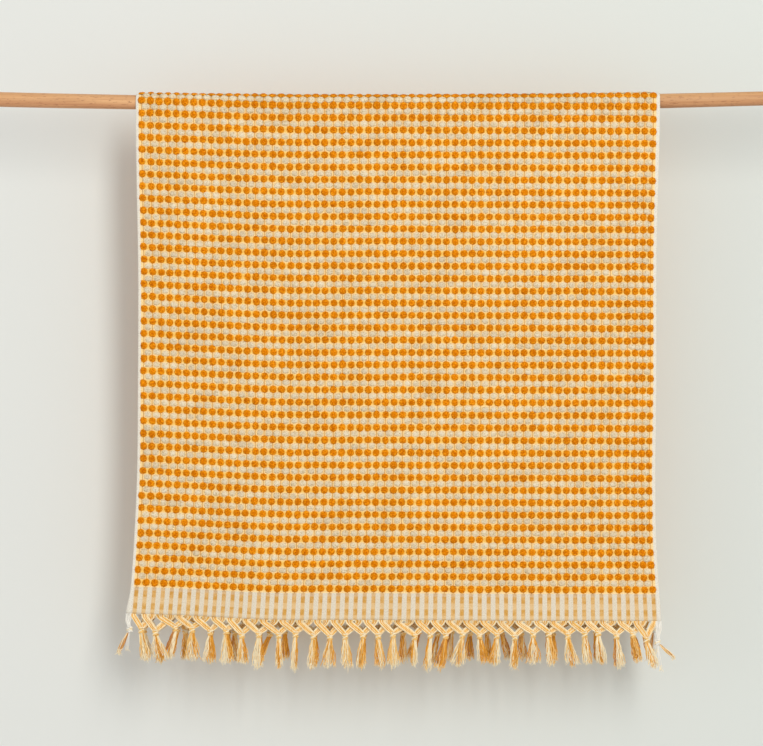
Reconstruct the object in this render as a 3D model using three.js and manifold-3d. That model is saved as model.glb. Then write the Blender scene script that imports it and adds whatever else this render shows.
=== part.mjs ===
// A fringed hand towel folded once over a plain wooden rod, in millimetres.
// The origin is on the rod's axis at mid-span. +X runs along the rod, +Y to the back, +Z up.
import * as THREE from 'three';
import { mergeVertices } from 'three/addons/utils/BufferGeometryUtils.js';
import Module from 'manifold-3d';

const wasm = await Module();
wasm.setup();

// Driving dimensions
const TOUCH = 0.3; // left between pieces that touch
const ROD = { length: 820, radius: 7.2, taper: 0.2, bow: 5.8, tilt: 0.6, at: 400, sides: 24, steps: 16 };
const CLOTH = { width: 500, hang: 495.8, pile: 2.4, flat: 1.3, selvedge: 3.6, edge: 0.8, band: 27.3 };
const KNOTS = { first: -246.6, pitch: 16.17, width: 4.6, depth: 4.4, height: 5 };
const STRIP = { height: 1.5, thick: 2.4, steps: 28 };
const LEG = { width: 3.3, depth: 1, apart: 0.6, inset: 2 };
const LOCK = { wide: 8, mouth: 3.5, gap: 0.25, swell: 1.5, depth: 2.2, bend: 0.45, rooted: 1, round: 3 };
const CORD = { width: 2, depth: 1.6 };

// A short table: one row for each fold, tassel or place, under the names of its columns.
const table = (columns, rows) => rows.map(
  (row) => Object.fromEntries(columns.map((name, i) => [name, row[i]])),
);

// Soft folds of the two panels. Each is a ridge (out above 0) or a trough at a place across the cloth.
// It starts and is full at a share of the drop from the rod, then fades between stay and end.
const FOLD_COLUMNS = ['at', 'width', 'out', 'start', 'full', 'stay', 'end'];
const FRONT_FOLDS = table(FOLD_COLUMNS, [
  [-250, 11, 1.2, 0.01, 0.08, 0.25, 0.5],
  [-203, 13, 1.6, 0.01, 0.08, 0.28, 0.5],
  [-162, 12, 1.3, 0.01, 0.08, 0.22, 0.45],
  [-196, 27, -2.4, 0.3, 0.85, 2, 3],
  [-140, 34, 2.6, 0.3, 0.9, 2, 3],
  [-268, 36, 9, 0.7, 1, 2, 3],
  [-60, 55, -1.2, 0.3, 0.9, 2, 3],
  [0, 12, 1.4, 0.04, 0.5, 2, 3],
  [118, 70, 1.6, 0.2, 0.9, 2, 3],
  [214, 26, -1.3, 0.3, 0.9, 2, 3],
]);
const BACK_FOLDS = table(FOLD_COLUMNS, [
  [-245, 30, -1.4, 0.1, 0.8, 2, 3],
  [-168, 42, 2.8, 0.05, 0.9, 2, 3],
  [-62, 44, -1.8, 0.1, 0.8, 2, 3],
  [48, 50, 2.4, 0.1, 1, 2, 3],
  [150, 40, -1.6, 0.1, 0.8, 2, 3],
  [236, 34, 2.6, 0.2, 1, 2, 3],
]);

// The front tassels, left to right: how far the knot is from its even place, how far it hangs below
// the hem, how far the tassel's tip leans from the knot, how wide the tip spreads, and its length.
const TASSEL_COLUMNS = ['shift', 'below', 'lean', 'spread', 'length'];
const FRONT_TASSELS = table(TASSEL_COLUMNS, [
  [0, 14.8, 4.2, 9.6, 28.8], [-2.9, 17, 4.9, 16.3, 25], [-0.5, 12.3, -6, 6.7, 26.9],
  [-0.4, 12.8, 0.3, 15.4, 28.8], [1, 14.6, -1, 13.4, 28.3], [0.1, 12.6, 1, 13.4, 29.8],
  [-0.9, 15.9, 1.2, 11.5, 25.9], [-0.8, 14.4, -0.7, 11.5, 30.7], [2.2, 14.6, 0.4, 6.2, 30.2],
  [2.1, 13, -1.3, 5.8, 33.6], [3.2, 15.6, -1.2, 9.6, 29.8], [2.8, 16.3, -1.2, 14.4, 27.8],
  [1.2, 15.4, 1.9, 11.5, 29.8], [2.3, 14.9, -2.3, 8.6, 31.2], [0.8, 14.9, 2.2, 10.6, 29.3],
  [-1.2, 13.9, 0, 11.5, 30.2], [3.4, 15.7, -0.5, 5.8, 26.4], [2.3, 14.1, -2.7, 6.7, 31.7],
  [0.9, 14.4, -5.9, 10.6, 31.2], [0.8, 13.7, -4.7, 14.4, 28.8], [1.2, 14.4, 3.2, 11.5, 25],
  [1.4, 13.9, -2.1, 10.6, 27.4], [2.4, 15.8, -0.6, 7.7, 28.3], [3.9, 13, 0.5, 14.4, 27.4],
  [3, 12.5, 2.5, 8.6, 28.8], [5, 13.9, 4, 13.4, 27.4], [5, 12.7, 2.8, 8.6, 27.4],
  [2, 11.6, 3, 10.6, 28.3], [3.6, 14.3, 2.6, 10.6, 29.3], [5, 12.7, 0.3, 10.6, 25],
  [0, 17.4, 6.8, 9.6, 25.9],
]);

// The back tassels hang half a pitch to the left of the front ones and vary by an even rule.
const BACK = { offset: -7.6, below: 14.6, length: 28.5, spread: 9 };
const vary = (k, step) => Math.sin((k + 1) * step);
const BACK_TASSELS = FRONT_TASSELS.map((row, k) => ({
  shift: BACK.offset + 1.4 * vary(k, 2.4),
  below: BACK.below + 1.5 * vary(k, 3.7),
  lean: 2.6 * vary(k, 5.3),
  spread: BACK.spread + 1.5 * vary(k, 1.9),
  length: BACK.length + 2 * vary(k, 4.1),
}));

// The selvedge cords at the four corners: where each leaves the strip, its knot, and its tuft's tips.
const CORNER_COLUMNS = ['x', 'knotX', 'knotBelow', 'tipX', 'tipBelow', 'strayX', 'strayBelow'];
const FRONT_CORNERS = table(CORNER_COLUMNS, [
  [-258, -257.6, 14.6, -268, 37.5, -260, 34],
  [250.5, 248.8, 19.6, 264, 35, 252, 46],
]);
const BACK_CORNERS = table(CORNER_COLUMNS, [
  [-248.5, -251.5, 14, -254, 38, -249, 40],
  [248, 247, 15, 243, 40, 249, 37],
]);

const soft = THREE.MathUtils.smoothstep;
const { lerp } = THREE.MathUtils;

// The rod bows: its middle sags below its two ends. It is a little thicker at the left.
const rodAxis = (x) => ROD.bow * (x / ROD.at) ** 2 + ROD.tilt * (x / ROD.at);
const rodRadius = (x) => ROD.radius - ROD.taper * (x / ROD.at);

// How far a fold pushes the cloth out at a place, at a share of its drop.
function foldOut(folds, x, share) {
  return folds.reduce((sum, fold) => {
    const grown = soft(share, fold.start, fold.full) * (1 - soft(share, fold.stay, fold.end));
    return sum + fold.out * grown * Math.exp(-(((x - fold.at) / fold.width) ** 2));
  }, 0);
}

// The front panel hangs a little askew: its rows and hem climb to the left, and its foot flares left.
const ASKEW = { from: -99, span: 148, climb: 6.6, power: 1.3, fall: 1 };
const FLARE = { left: 9.5, span: 340, across: 1.5, down: 4.8, right: 2.2, rightDown: 14 };
const TAUT = { left: 3, right: 1.2, until: 0.2 };
const NARROW = { from: 215, to: 250, in: 2.2, full: 0.2, stay: 0.8 };
function weftRise(x) {
  const left = Math.max(0, ASKEW.from - x) / ASKEW.span;
  return ASKEW.climb * left ** ASKEW.power - ASKEW.fall * (Math.max(0, x) / (CLOTH.width / 2));
}
// Taut over the rod, the cloth is a little wider there, and its sides draw in below.
function tautShift(across, share) {
  const pull = across < 0 ? TAUT.left : TAUT.right;
  return pull * (across / (CLOTH.width / 2)) * (1 - soft(share, 0, TAUT.until));
}
function waistShift(across, share) {
  const waist = soft(share, 0, NARROW.full) * (1 - soft(share, NARROW.stay, 1));
  return -NARROW.in * waist * soft(across, NARROW.from, NARROW.to);
}
function flareShift(across, share) {
  const reach = Math.min(1, Math.max(0, across + CLOTH.width / 2) / FLARE.span);
  const left = FLARE.left * share ** FLARE.down * (1 - reach ** FLARE.across);
  return FLARE.right * share ** FLARE.rightDown * soft(across, NARROW.from, NARROW.to) - left;
}

// One panel of the cloth: which way it faces, its folds, its hem line, its shift to the side and how
// many locks its wide tassels have.
const FRONT = {
  facing: -1,
  folds: FRONT_FOLDS,
  hem: (x) => weftRise(x) - CLOTH.hang,
  shift: (across, share) => tautShift(across, share) + waistShift(across, share) + flareShift(across, share),
  locks: 3,
};
const REAR = {
  facing: 1,
  folds: BACK_FOLDS,
  hem: (x) => rodAxis(x) - CLOTH.hang,
  shift: (across, share) => tautShift(across, share) + waistShift(across, share) - waistShift(-across, share),
  locks: 2,
};

// The cloth's half thickness: full under the pile, thin in the flat band, the hem and the selvedges.
function halfThickness(across, toHem) {
  const toEdge = CLOTH.width / 2 - Math.abs(across);
  const side = soft(toEdge, CLOTH.selvedge - CLOTH.edge, CLOTH.selvedge + CLOTH.edge);
  const pile = side * soft(toHem, CLOTH.band - CLOTH.edge, CLOTH.band + 2 * CLOTH.edge);
  return lerp(CLOTH.flat, CLOTH.pile, pile) / 2;
}

// A point of one panel: a share of the drop below the rod, on the middle (0), inner (-1) or outer (1) face.
function panelPoint(panel, across, share, face) {
  const x = across + panel.shift(across, share);
  const top = rodAxis(x);
  const z = lerp(top, panel.hem(x), share);
  const half = halfThickness(across, (1 - share) * (top - panel.hem(x)));
  const out = rodRadius(x) + TOUCH + CLOTH.pile / 2 + face * half + foldOut(panel.folds, x, share);
  return new THREE.Vector3(x, panel.facing * out, z);
}

// A point of the fold that passes over the rod, at an angle from straight up.
function crownPoint(panel, across, angle, face) {
  const x = across + panel.shift(across, 0);
  const radius = rodRadius(x) + TOUCH + CLOTH.pile / 2 + face * halfThickness(across, CLOTH.hang);
  return new THREE.Vector3(x, panel.facing * radius * Math.sin(angle), rodAxis(x) + radius * Math.cos(angle));
}

// Moves the points of a plain box or cylinder to their places, and welds them.
function shaped(geometry, place) {
  geometry.deleteAttribute('normal');
  geometry.deleteAttribute('uv');
  const { position } = geometry.attributes;
  const point = new THREE.Vector3();
  for (let i = 0; i < position.count; i += 1) {
    point.fromBufferAttribute(position, i);
    const moved = place(point);
    position.setXYZ(i, moved.x, moved.y, moved.z);
  }
  return mergeVertices(geometry, 1e-4);
}

// Rod: a round bar, cut square at both ends.
function rodGeometry() {
  const bar = new THREE.CylinderGeometry(1, 1, ROD.length, ROD.sides, ROD.steps);
  bar.rotateZ(-Math.PI / 2);
  return shaped(bar, (p) => {
    const radius = rodRadius(p.x);
    return new THREE.Vector3(p.x, radius * p.y, rodAxis(p.x) + radius * p.z);
  });
}

// Towel: one flat slab of cloth, bent over the rod. Its columns lie closer where the folds are narrow.
const COLUMNS = [
  -250, -247.2, -245.6, -236, -226, -215, -203, -192, -182, -172, -162, -151, -138, -122, -100, -76,
  -50, -28, -15, -7, 0, 7, 15, 28, 52, 80, 110, 140, 168, 194, 212, 228, 245.6, 247.2, 250,
];
const CROWN_STEPS = 4;
const DROPS = [
  0, 0.03, 0.07, 0.12, 0.18, 0.25, 0.33, 0.42, 0.51, 0.6, 0.69, 0.77, 0.84, 0.9, 0.942, 0.948, 1,
];
function towelGeometry() {
  const columns = COLUMNS.length - 1;
  const side = CROWN_STEPS + DROPS.length - 1;
  const slab = new THREE.BoxGeometry(columns, 2 * side, 2, columns, 2 * side, 1);
  return shaped(slab, (p) => {
    const across = COLUMNS[Math.round(p.x + columns / 2)];
    const row = Math.round(p.y);
    const panel = row > 0 ? REAR : FRONT;
    const steps = Math.abs(row);
    if (steps <= CROWN_STEPS) {
      return crownPoint(panel, across, (steps / CROWN_STEPS) * (Math.PI / 2), p.z);
    }
    return panelPoint(panel, across, DROPS[steps - CROWN_STEPS], p.z);
  });
}

// The middle of a panel's hem, straight above a place along X, from which its fringe hangs.
function hemPoint(panel, x) {
  const near = x - panel.shift(x, 1);
  const middle = panelPoint(panel, x - panel.shift(near, 1), 1, 0);
  return new THREE.Vector3(x, middle.y, panel.hem(x));
}

// One strand of yarns, of four sides: its middle follows the stations given, each with a width and a depth.
function strand(stations) {
  const steps = stations.length - 1;
  const post = new THREE.BoxGeometry(1, 1, steps, 1, 1, steps);
  return shaped(post, (p) => {
    const { at, width, depth } = stations[Math.round(steps / 2 - p.z)];
    return new THREE.Vector3(at.x + p.x * width, at.y + p.y * depth, at.z);
  });
}

function solid(geometry) {
  return new wasm.Manifold(new wasm.Mesh({
    numProp: 3,
    vertProperties: Float32Array.from(geometry.attributes.position.array),
    triVerts: Uint32Array.from(geometry.index.array),
  }));
}

function joined(geometries) {
  const whole = geometries.map(solid).reduce((sum, piece) => sum.add(piece)).getMesh();
  const geometry = new THREE.BufferGeometry();
  geometry.setAttribute('position', new THREE.BufferAttribute(whole.vertProperties, 3));
  geometry.setIndex(new THREE.BufferAttribute(whole.triVerts, 1));
  return geometry;
}

// The narrow strip just below the hem that holds the roots of one fringe.
function stripGeometry(panel, from, to) {
  const bar = new THREE.BoxGeometry(STRIP.steps, 2, 2, STRIP.steps, 1, 1);
  return shaped(bar, (p) => {
    const hem = hemPoint(panel, lerp(from, to, p.x / STRIP.steps + 0.5));
    hem.y += (p.y * STRIP.thick) / 2;
    hem.z -= TOUCH + ((1 - p.z) * STRIP.height) / 2;
    return hem;
  });
}

// A knot: a small barrel, its widths from top to bottom given as shares of the widest.
const KNOT_RINGS = [0.6, 1, 0.85];
function knotGeometry(at) {
  return strand(KNOT_RINGS.map((wide, i) => ({
    at: new THREE.Vector3(at.x, at.y, at.z + KNOTS.height * (0.5 - i / (KNOT_RINGS.length - 1))),
    width: wide * KNOTS.width,
    depth: wide * KNOTS.depth,
  })));
}

// The locks of one tassel: side by side in the knot's mouth, then fanned out to the tip's spread.
function tasselLocks(knot, { lean, spread, length }, most) {
  const count = spread > LOCK.wide ? most : 2;
  const neck = LOCK.mouth / count - LOCK.gap;
  return Array.from({ length: count }, (_, i) => {
    const place = (i + 0.5) / count - 0.5;
    const station = (share, down, width) => ({
      at: new THREE.Vector3(
        knot.x + lerp(place * LOCK.mouth, lean + place * spread, share),
        knot.y,
        knot.z - down,
      ),
      width,
      depth: LOCK.depth,
    });
    return strand([
      station(0, KNOTS.height / 2 - LOCK.rooted, neck),
      station(LOCK.bend, length * LOCK.bend, neck),
      station(1, length - LOCK.round * Math.abs(place), neck * LOCK.swell),
    ]);
  });
}

// One fringe: crossed legs from the strip to the knots, and the locks of each tassel below its knot.
function fringeGeometry(panel, tassels, corners) {
  const [left, right] = corners;
  const pieces = [stripGeometry(panel, left.x - CORD.width / 2, right.x + CORD.width / 2)];
  const knots = tassels.map((tassel, k) => {
    const at = hemPoint(panel, KNOTS.first + k * KNOTS.pitch + tassel.shift);
    at.z -= tassel.below;
    return at;
  });
  const root = (x) => {
    const at = hemPoint(panel, x);
    at.z -= TOUCH + STRIP.height / 2;
    return at;
  };
  const leg = (from, to, side) => {
    const lift = new THREE.Vector3(0, side * LEG.apart, 0);
    pieces.push(strand([from, to].map((at) => ({
      at: at.clone().add(lift), width: LEG.width, depth: LEG.depth,
    }))));
  };
  knots.forEach((knot, k) => {
    const before = k > 0 ? knots[k - 1].x : left.x + LEG.inset;
    const after = k < knots.length - 1 ? knots[k + 1].x : right.x - LEG.inset;
    leg(root(before), knot, -1);
    leg(root(after), knot, 1);
    pieces.push(knotGeometry(knot));
    pieces.push(...tasselLocks(knot, tassels[k], panel.locks));
  });
  corners.forEach((corner) => {
    const knot = hemPoint(panel, corner.knotX);
    knot.z -= corner.knotBelow;
    pieces.push(knotGeometry(knot));
    const cord = (x, below) => {
      const end = new THREE.Vector3(x, knot.y, panel.hem(corner.knotX) - below);
      pieces.push(strand([knot, end].map((at) => ({ at, width: CORD.width, depth: CORD.depth }))));
    };
    pieces.push(strand([root(corner.x), knot].map((at) => ({ at, width: CORD.width, depth: CORD.depth }))));
    cord(corner.tipX, corner.tipBelow);
    cord(corner.strayX, corner.strayBelow);
  });
  return joined(pieces);
}

// Finishes
const WOOD = new THREE.MeshStandardMaterial({ color: 0xd0a37c, roughness: 0.6, metalness: 0 });
const COTTON = new THREE.MeshStandardMaterial({ color: 0xe0ab5c, roughness: 0.95, metalness: 0 });
const YARN = new THREE.MeshStandardMaterial({ color: 0xcfb085, roughness: 0.95, metalness: 0 });

const towelOnRod = new THREE.Group();
function addPiece(name, geometry, material) {
  const piece = new THREE.Mesh(geometry, material.clone());
  piece.name = name;
  towelOnRod.add(piece);
}
addPiece('rod', rodGeometry(), WOOD);
addPiece('towel', towelGeometry(), COTTON);
addPiece('fringe_front', fringeGeometry(FRONT, FRONT_TASSELS, FRONT_CORNERS), YARN);
addPiece('fringe_back', fringeGeometry(REAR, BACK_TASSELS, BACK_CORNERS), YARN);

export default towelOnRod;
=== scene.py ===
import math
from types import SimpleNamespace

import bmesh
import bpy
import numpy as np
from mathutils import Matrix, Vector


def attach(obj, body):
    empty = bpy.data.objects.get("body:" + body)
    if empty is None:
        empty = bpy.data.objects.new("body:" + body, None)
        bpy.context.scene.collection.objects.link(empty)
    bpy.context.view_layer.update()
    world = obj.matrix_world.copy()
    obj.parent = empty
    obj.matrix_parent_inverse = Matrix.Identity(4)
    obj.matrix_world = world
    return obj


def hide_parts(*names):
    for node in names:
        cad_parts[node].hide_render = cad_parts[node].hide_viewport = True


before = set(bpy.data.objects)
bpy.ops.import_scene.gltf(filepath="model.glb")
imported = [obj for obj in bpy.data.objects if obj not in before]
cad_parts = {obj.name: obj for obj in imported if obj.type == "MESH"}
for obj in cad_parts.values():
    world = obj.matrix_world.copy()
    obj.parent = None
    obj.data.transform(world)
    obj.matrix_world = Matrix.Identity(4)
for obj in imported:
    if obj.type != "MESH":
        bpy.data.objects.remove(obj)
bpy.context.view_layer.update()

# Rod: a slim bar of pale wood, planed and sanded round, and sawn square at both ends. Its middle hangs a
# little below its ends, and it is a touch thicker at the left. Lengths of the rod, the cloth and the
# fringe are in millimetres, and MM turns them into the frame's metres.
MM = 0.001
ROD = SimpleNamespace(
    length=820, radius=7.2, sanded=0.25, taper=0.05, low=1.5, bow=5.9, tilt=0.95, at=400, sides=64,
    rings=90, edge=0.6, uneven=0.12,
)


def rod_axis(x):
    """The height of the rod's centre line at a place along it."""
    return ROD.low + ROD.bow * (x / ROD.at) ** 2 + ROD.tilt * (x / ROD.at)


def rod_radius(x):
    return ROD.radius - ROD.taper * (x / ROD.at)


def hue(red, green, blue):
    """A colour from its screen values, 0 to 255."""
    shares = [c / 255 for c in (red, green, blue)]
    return (*[s / 12.92 if s <= 0.04045 else ((s + 0.055) / 1.055) ** 2.4 for s in shares], 1.0)


def node(tree, kind, inputs=(), **settings):
    """Adds a shader node. Each input is a value, or the output that feeds it."""
    made = tree.nodes.new(kind)
    for name, value in settings.items():
        setattr(made, name, value)
    for name, value in dict(inputs).items():
        if isinstance(value, bpy.types.NodeSocket):
            tree.links.new(value, made.inputs[name])
        else:
            made.inputs[name].default_value = value
    return made


def calc(tree, operation, *values):
    return node(tree, "ShaderNodeMath", enumerate(values), operation=operation).outputs[0]


def times(tree, value, factor):
    return calc(tree, "MULTIPLY", value, factor)


def axes(tree, vector):
    """A vector's three parts."""
    return node(tree, "ShaderNodeSeparateXYZ", {0: vector}).outputs


def own_place(tree):
    """Where a point lies in the piece's own coordinates, in metres."""
    return node(tree, "ShaderNodeTexCoord").outputs["Object"]


def blend_colours(tree, share, first, second, way="MIX"):
    made = node(tree, "ShaderNodeMix", data_type="RGBA", blend_type=way)
    for socket, value in zip((made.inputs[0], made.inputs[6], made.inputs[7]), (share, first, second)):
        if isinstance(value, bpy.types.NodeSocket):
            tree.links.new(value, socket)
        else:
            socket.default_value = value
    return made.outputs[2]


def ramp(tree, share, stops):
    """Colours by share: each stop is a share and its colour."""
    made = node(tree, "ShaderNodeValToRGB", {0: share})
    elements = made.color_ramp.elements
    while len(elements) < len(stops):
        elements.new(0.5)
    for element, (place, colour) in zip(elements, stops):
        element.position = place
        element.color = colour
    return made.outputs[0]


def grown(tree, value, start, full):
    """0 below start and 1 above full, with a soft step between."""
    made = node(tree, "ShaderNodeMapRange", {0: value, 1: start, 2: full}, interpolation_type="SMOOTHSTEP")
    return made.outputs[0]


def new_finish(name, roughness, sheen=0.0, gloss=0.5):
    finish = bpy.data.materials.new(name)
    finish.use_nodes = True
    shader = finish.node_tree.nodes["Principled BSDF"]
    shader.inputs["Roughness"].default_value = roughness
    shader.inputs["Specular IOR Level"].default_value = gloss
    shader.inputs["Sheen Weight"].default_value = sheen
    shader.inputs["Sheen Roughness"].default_value = 0.5
    return finish, finish.node_tree, shader


def bump(tree, shader, height, strength, distance):
    made = node(tree, "ShaderNodeBump", {"Height": height, "Strength": strength, "Distance": distance * MM})
    tree.links.new(made.outputs[0], shader.inputs["Normal"])


def stretched(tree, scale):
    """The piece's own coordinates in millimetres, times a scale along each axis."""
    scales = [s / MM for s in scale]
    return node(tree, "ShaderNodeMapping", {"Vector": own_place(tree), "Scale": scales}).outputs[0]


def noise(tree, vector, scale=1.0, detail=2.0, roughness=0.5, distortion=0.0):
    made = node(tree, "ShaderNodeTexNoise", {
        "Vector": vector, "Scale": scale, "Detail": detail, "Roughness": roughness, "Distortion": distortion,
    })
    return made.outputs["Fac"]


def add_piece(name, mesh, *finishes):
    """Links a finished mesh as a piece that stays with the rod."""
    piece = bpy.data.objects.new(name, mesh)
    for finish in finishes:
        mesh.materials.append(finish)
    bpy.context.scene.collection.objects.link(piece)
    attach(piece, "root")
    return piece


def rod_mesh():
    bar = bmesh.new()
    bmesh.ops.create_cone(
        bar, cap_ends=True, segments=ROD.sides, radius1=1, radius2=1, depth=ROD.length,
        matrix=Matrix.Rotation(math.radians(90), 4, "Y"),
    )
    lengthwise = [e for e in bar.edges if abs(e.verts[0].co.x - e.verts[1].co.x) > 1]
    bmesh.ops.subdivide_edges(bar, edges=lengthwise, cuts=ROD.rings - 1)
    for vert in bar.verts:
        x, y, z = vert.co
        turn = math.atan2(z, y)
        worn = ROD.uneven * (math.sin(2 * turn + x / 47) + math.sin(3 * turn - x / 31) * 0.6)
        radius = rod_radius(x) - ROD.sanded + worn
        vert.co = (x, radius * y, rod_axis(x) + radius * z)
    rims = [e for e in bar.edges if len(e.link_faces) == 2 and max(len(f.verts) for f in e.link_faces) > 4]
    bmesh.ops.bevel(
        bar, geom=rims, offset=ROD.edge, segments=2, profile=0.5, affect="EDGES", material=-1,
    )
    bmesh.ops.scale(bar, vec=(MM, MM, MM), verts=bar.verts)
    for face in bar.faces:
        face.smooth = len(face.verts) == 4
    mesh = bpy.data.meshes.new("rod_bar")
    bar.to_mesh(mesh)
    bar.free()
    return mesh


def rod_finish():
    finish, tree, shader = new_finish("sanded_wood", roughness=0.55, gloss=0.4)
    grain = noise(tree, stretched(tree, (0.012, 0.55, 0.55)), detail=5, roughness=0.6, distortion=0.3)
    tone = noise(tree, stretched(tree, (0.006, 0.09, 0.09)), detail=2)
    pores = noise(tree, stretched(tree, (0.16, 1.0, 1.0)), detail=3, roughness=0.6)
    wood = ramp(tree, grain, [
        (0.3, hue(184, 130, 86)),
        (0.45, hue(212, 160, 110)),
        (0.6, hue(224, 174, 124)),
        (0.75, hue(200, 146, 98)),
    ])
    darker = times(tree, grown(tree, tone, 0.35, 0.7), 0.5)
    toned = blend_colours(tree, darker, wood, hue(186, 132, 90))
    # Painted shade: where the rod's surface faces down it is painted browner, for the shade that falls on its
    # underside.
    upward = axes(tree, node(tree, "ShaderNodeNewGeometry").outputs["Normal"])[2]
    painted_underside_shade = times(tree, grown(tree, upward, 0.1, -0.7), 0.5)
    toned = blend_colours(tree, painted_underside_shade, toned, hue(196, 134, 98))
    flecks = times(tree, grown(tree, pores, 0.59, 0.65), 0.7)
    flecked = blend_colours(tree, flecks, toned, hue(148, 92, 58))
    # The wood is a little darker towards the rod's right end.
    along = axes(tree, own_place(tree))[0]
    darker_to_right = blend_colours(tree, grown(tree, along, -0.35, 0.35), hue(255, 255, 252), hue(244, 243, 236))
    tree.links.new(blend_colours(tree, 1.0, flecked, darker_to_right, "MULTIPLY"), shader.inputs["Base Color"])
    bump(tree, shader, grain, 0.25, 0.15)
    return finish


rod = add_piece("rod_bar", rod_mesh(), rod_finish())
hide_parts("rod")

# Towel: one woven length of cotton, folded once over the rod, so that one half hangs in front and one
# behind. Here is how it hangs: the drop of each half, its rows a little askew, and its soft folds.
TOUCH = 0.3
PILE = 2.4
CLOTH = SimpleNamespace(
    width=500, hang=495.8, ground=0.35, sunk=0.45, hugging=0.5, selvedge=3.6, trim=0.8, eased=2.4, band=27.3,
)
REACH = ROD.radius + TOUCH + PILE / 2
QUARTER = REACH * math.pi / 2
HALF_LENGTH = QUARTER + CLOTH.hang

# Each fold is a ridge (out above 0) or a trough at a place across the cloth. It starts and is full at a
# share of the drop from the rod, and fades between stay and end.
FOLD_COLUMNS = ("at", "width", "out", "start", "full", "stay", "end")
FRONT_FOLDS = (
    (-250, 11, 1.2, 0.01, 0.08, 0.25, 0.5),
    (-203, 13, 1.6, 0.01, 0.08, 0.28, 0.5),
    (-162, 12, 1.3, 0.01, 0.08, 0.22, 0.45),
    (-196, 27, -2.4, 0.3, 0.85, 2, 3),
    (-140, 34, 2.6, 0.3, 0.9, 2, 3),
    (-268, 36, 9, 0.7, 1, 2, 3),
    (-60, 55, -1.2, 0.3, 0.9, 2, 3),
    (0, 12, 1.4, 0.04, 0.5, 2, 3),
    (118, 70, 1.6, 0.2, 0.9, 2, 3),
    (214, 26, -1.3, 0.3, 0.9, 2, 3),
)
BACK_FOLDS = (
    (-245, 30, -1.4, 0.1, 0.8, 2, 3),
    (-168, 42, 2.8, 0.05, 0.9, 2, 3),
    (-62, 44, -1.8, 0.1, 0.8, 2, 3),
    (48, 50, 2.4, 0.1, 1, 2, 3),
    (150, 40, -1.6, 0.1, 0.8, 2, 3),
    (236, 34, 2.6, 0.2, 1, 2, 3),
)

# The front's rows and hem climb to the left and drop a little to the right (ASKEW, DROOP). Its sides flare
# at the foot (FLARE), stand out where the rod pulls the cloth taut (TAUT), and run in below that (NARROW).
# SPREAD moves its upper columns apart, and LOOSE sets how close its rows stand.
ASKEW = SimpleNamespace(start=-99, span=148, climb=6.6, late=1.7, grown=0.36, power=1.3, fall=1)
DROOP = SimpleNamespace(by=0.8, start=236, full=252, stay=0.15, end=0.4)
FLARE = SimpleNamespace(left=9.5, span=340, across=1.5, down=4.8, right=2.5, right_down=8, start=130)
TAUT = SimpleNamespace(left=2.6, right=0.3, until=0.38)
NARROW = SimpleNamespace(start=215, full=250, inward=3.1, grown=0.32, stay=0.8)
SPREAD = SimpleNamespace(middle=0.4, out=1.1, full=180, right=0.7, stay=0.53, end=0.72)
LOOSE = SimpleNamespace(closed=0.0006, start=0.12, full=0.4, opened=0.0022, middle=0.5, lower=0.72, end=0.93)

# Small unevenness of the cloth between its folds: how long each wave is across and along, and its height.
PUCKER_COLUMNS = ("across", "along", "turn", "height")
PUCKERS = (
    (37, 180, 0.4, 0.16),
    (58, 95, 2.1, 0.2),
    (23, 61, 4.0, 0.1),
    (110, 47, 1.3, 0.16),
    (29, -88, 5.2, 0.12),
)


def rows_named(columns, rows):
    return [SimpleNamespace(**dict(zip(columns, row))) for row in rows]


def soft(value, start, full):
    share = np.clip((value - start) / (full - start), 0, 1)
    return share * share * (3 - 2 * share)


def weft_rise(x, share=1.0):
    """How far the front's rows and hem stand above level at a place along the rod and down the drop."""
    left = np.maximum(0, ASKEW.start - x) / ASKEW.span
    climb = ASKEW.climb - ASKEW.late * (1 - soft(share, 0, ASKEW.grown))
    droop = DROOP.by * soft(x, DROOP.start, DROOP.full) * (1 - soft(share, DROOP.stay, DROOP.end))
    return climb * left ** ASKEW.power - ASKEW.fall * np.maximum(0, x) / (CLOTH.width / 2) - droop


def taut_shift(across, share):
    pull = np.where(across < 0, TAUT.left, TAUT.right)
    return pull * across / (CLOTH.width / 2) * (1 - soft(share, 0, TAUT.until))


def waist_shift(across, share):
    waist = soft(share, 0, NARROW.grown) * (1 - soft(share, NARROW.stay, 1))
    return -NARROW.inward * waist * soft(across, NARROW.start, NARROW.full)


def flare_shift(across, share):
    reach = np.clip((across + CLOTH.width / 2) / FLARE.span, 0, 1)
    left = FLARE.left * share ** FLARE.down * (1 - reach ** FLARE.across)
    return FLARE.right * share ** FLARE.right_down * soft(across, FLARE.start, NARROW.full) - left


def spread_shift(across, share):
    out = SPREAD.middle + SPREAD.out * np.clip(across / SPREAD.full, -1, SPREAD.right)
    return out * (1 - soft(share, SPREAD.stay, SPREAD.end))


def front_shift(across, share):
    narrowed = taut_shift(across, share) + waist_shift(across, share)
    return narrowed + flare_shift(across, share) + spread_shift(across, share)


def back_shift(across, share):
    return taut_shift(across, share) + waist_shift(across, share) - waist_shift(-across, share)


def loosened(share):
    """The front's rows stand a little closer in its upper half, and a little wider apart below that."""
    lower = soft(share, LOOSE.middle, LOOSE.lower)
    closed = LOOSE.closed * soft(share, LOOSE.start, LOOSE.full) * (1 - lower)
    opened = LOOSE.opened * lower * (1 - soft(share, LOOSE.end, 1))
    return share - closed + opened


def front_hem(x):
    return weft_rise(x) - CLOTH.hang


def back_hem(x):
    return rod_axis(x) - CLOTH.hang


FRONT = SimpleNamespace(
    facing=-1, folds=rows_named(FOLD_COLUMNS, FRONT_FOLDS), shift=front_shift, hem=front_hem, turn=0,
)
BACK = SimpleNamespace(
    facing=1, folds=rows_named(FOLD_COLUMNS, BACK_FOLDS), shift=back_shift, hem=back_hem, turn=2,
)
PUCKERED = rows_named(PUCKER_COLUMNS, PUCKERS)


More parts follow.
